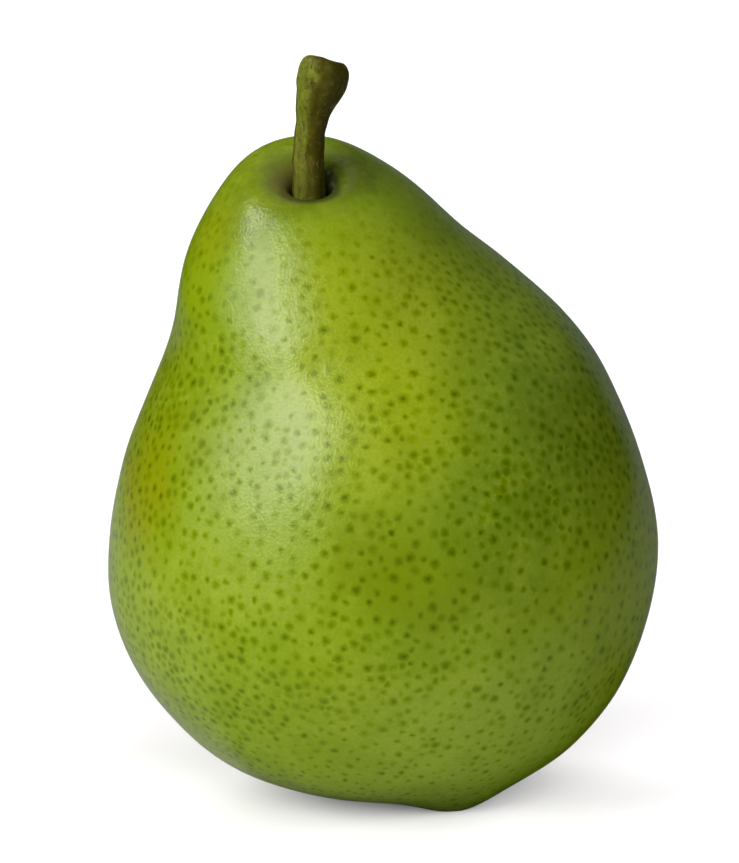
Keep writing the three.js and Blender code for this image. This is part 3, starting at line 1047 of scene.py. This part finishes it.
# The soft boxes that light the pear alone: azimuth and elevation in degrees, distance, width and
# height in metres, radiance, and the kind of light each one doesn't give.
SOFT_BOXES = {
    "key": (-47, 38, 1.1, 1.1, 0.9, 3.8, "glossy"),
    "shine": (-62, 26, 1.1, 1.98, 1.43, 5.4, "diffuse"),
    "glint": (-79, 43, 1.1, 0.27, 0.22, 8.5, "diffuse"),
    "sky": (110, 48, 1.3, 2.2, 1.1, 0.09, "diffuse"),
    "wall": (168, 6, 1.5, 1.5, 0.6, 0.16, None),
    "top": (180, 70, 1.2, 0.6, 0.5, 0.35, None),
    "front": (10, 20, 1.6, 1.2, 0.8, 0.9, "glossy"),
    "back": (190, 35, 1.4, 1.8, 1.0, 0.8, "glossy"),
}
WALL_TINT = (0.82, 1.0, 0.90)

FLOOR_WHITE = (0.944, 0.922, 0.946)  # a trace less green, against the green light off the pear
BOUNCE_WHITE = (0.8, 0.8, 0.8)
SHEEN_GREY = (0.5, 0.5, 0.5)
# The white surface, as sheets that each meet one kind of ray: the camera sees the first, the
# second lights the pear from below, and the skin mirrors the other two. The middle, radius and
# height in metres, the colour, and the kind of ray.
SHEETS = {
    "floor": ((0.0, 0.0), 6.0, 0.0, FLOOR_WHITE, "camera"),
    "floor_bounce": ((0.0, 0.0), 0.25, -0.0002, BOUNCE_WHITE, "diffuse"),
    "floor_glow": ((-0.12, 0.12), 0.16, -0.0004, SHEEN_GREY, "glossy"),
    "floor_sheen": ((0.0, 0.40), 0.46, -0.0006, SHEEN_GREY, "glossy"),
}
SHEET_SIDES = 96

# The lights of each sheet: azimuth, elevation and spread in degrees, strength.
SHEET_SUNS = {
    "floor": [
        (0, 22, 44, 3.05),
        (-60, 10, 20, 2.80),
        (-60, 22, 44, 1.30),
        (60, 10, 20, 1.00),
        (60, 40, 44, 0.80),
        (90, 10, 20, 2.40),
        (-120, 10, 20, 1.20),
        (-150, 22, 44, 2.30),
        (150, 10, 20, 1.70),
    ],
    "floor_bounce": [(-40, 60, 100, 2.8)],
    "floor_glow": [(-60, 35, 50, 4.1)],
    "floor_sheen": [(-60, 35, 50, 1.9)],
}

# How bright the big soft box looks across and up it, as (share of the way, brightness): it
# fades to its far side and downwards, and ends sharply towards the camera.
SHINE_ACROSS = [
    (0.0, 0.0), (0.15, 0.03), (0.30, 0.14), (0.42, 0.40), (0.54, 0.80),
    (0.66, 1.0), (0.73, 1.0), (0.77, 0.84), (0.81, 0.44), (0.85, 0.16), (0.92, 0.06), (1.0, 0.0),
]
SHINE_UP = [
    (0.0, 0.04), (0.12, 0.08), (0.25, 0.24), (0.37, 0.58), (0.47, 0.90),
    (0.58, 0.98), (0.75, 1.0), (0.81, 0.75), (0.87, 0.28), (0.94, 0.10), (1.0, 0.02),
]


def group(name, *objects):
    """A collection that only says which objects a light falls on."""
    made = bpy.data.collections.new(name)
    for thing in objects:
        made.objects.link(thing)
    return made


def direction(azimuth, elevation):
    """Degrees round from the camera's side, to the right, and up."""
    turn, rise = math.radians(azimuth), math.radians(elevation)
    flat = math.cos(rise)
    return Vector((math.sin(turn) * flat, -math.cos(turn) * flat, math.sin(rise)))


def soft_box(name, azimuth, elevation, distance, width, height, radiance, unseen, lit):
    """A rectangular soft light that looks at the pear's middle and lights one group."""
    data = bpy.data.lights.new(name, "AREA")
    data.shape = "RECTANGLE"
    data.size = width
    data.size_y = height
    data.energy = radiance * math.pi * width * height
    light = bpy.data.objects.new(name, data)
    way = direction(azimuth, elevation)
    light.location = CAMERA_AIM + way * distance
    light.rotation_euler = way.to_track_quat("Z", "Y").to_euler()
    light.visible_camera = False
    light.visible_diffuse = unseen != "diffuse"
    light.visible_glossy = unseen != "glossy"
    bpy.context.scene.collection.objects.link(light)
    light.light_linking.receiver_collection = lit
    return light


def shaded_box(light, across, up):
    """Makes a soft box brighter in some parts than others, by ramps across it and up it."""
    light.data.use_nodes = True
    tree = light.data.node_tree
    emission = tree.nodes["Emission"]
    geometry = tree.nodes.new("ShaderNodeNewGeometry")
    split = tree.nodes.new("ShaderNodeSeparateXYZ")
    tree.links.new(geometry.outputs["Parametric"], split.inputs[0])
    product = tree.nodes.new("ShaderNodeMath")
    product.operation = "MULTIPLY"
    for place, stops in enumerate((across, up)):
        ramp = tree.nodes.new("ShaderNodeValToRGB")
        ramp.color_ramp.interpolation = "EASE"
        elements = ramp.color_ramp.elements
        elements.remove(elements[0])
        for index, (share, bright) in enumerate(stops):
            stop = elements[0] if index == 0 else elements.new(share)
            stop.position = share
            stop.color = (bright, bright, bright, 1.0)
        tree.links.new(split.outputs[place], ramp.inputs["Fac"])
        tree.links.new(ramp.outputs["Color"], product.inputs[place])
    tree.links.new(product.outputs[0], emission.inputs["Strength"])


def sun(name, azimuth, elevation, spread, strength, lit):
    """A wide soft light from far away, for one group."""
    data = bpy.data.lights.new(name, "SUN")
    data.energy = strength
    data.angle = math.radians(spread)
    light = bpy.data.objects.new(name, data)
    light.rotation_euler = direction(azimuth, elevation).to_track_quat("Z", "Y").to_euler()
    bpy.context.scene.collection.objects.link(light)
    light.light_linking.receiver_collection = lit


def disc(name, middle, radius, height, colour):
    """A flat round sheet of one plain colour, level with the floor or just under it."""
    mesh = bpy.data.meshes.new(name)
    turns = [side / SHEET_SIDES * FULL_TURN for side in range(SHEET_SIDES)]
    x, y = middle
    verts = [(x + radius * math.cos(t), y + radius * math.sin(t), height) for t in turns]
    mesh.from_pydata(verts, [], [tuple(range(SHEET_SIDES))])
    sheet = bpy.data.objects.new(name, mesh)
    bpy.context.scene.collection.objects.link(sheet)
    paint = Paint(name + "_paint")
    mesh.materials.append(
        paint.finish(Base_Color=(*colour, 1.0), Roughness=1.0, Specular_IOR_Level=0.0)
    )
    return sheet


def meets_only(thing, rays):
    """Leaves an object to one kind of ray, which is camera, diffuse or glossy."""
    thing.visible_camera = rays == "camera"
    thing.visible_diffuse = rays == "diffuse"
    thing.visible_glossy = rays == "glossy"
    thing.visible_transmission = rays == "camera"
    thing.visible_shadow = False


def make_sheets():
    """The sheets of the white surface, by name."""
    sheets = {}
    for name, (middle, radius, height, colour, rays) in SHEETS.items():
        sheets[name] = disc(name, middle, radius, height, colour)
        meets_only(sheets[name], rays)
    return sheets


def make_world():
    """White all round, but with no light of its own."""
    world = bpy.data.worlds.new("studio")
    world.use_nodes = True
    back = world.node_tree.nodes["Background"]
    back.inputs["Color"].default_value = (1.0, 1.0, 1.0, 1.0)
    back.inputs["Strength"].default_value = 0.0
    bpy.context.scene.world = world


sheets = make_sheets()
on_pear = group("lit_pear", fruit, stem, calyx)
boxes = {name: soft_box(name, *values, on_pear) for name, values in SOFT_BOXES.items()}
shaded_box(boxes["shine"], SHINE_ACROSS, SHINE_UP)
boxes["wall"].data.color = WALL_TINT
for name, suns in SHEET_SUNS.items():
    on_sheet = group("lit_" + name, sheets[name])
    for index, values in enumerate(suns):
        sun(f"{name}_sun_{index}", *values, on_sheet)
make_world()
bpy.context.scene.view_settings.view_transform = "Standard"
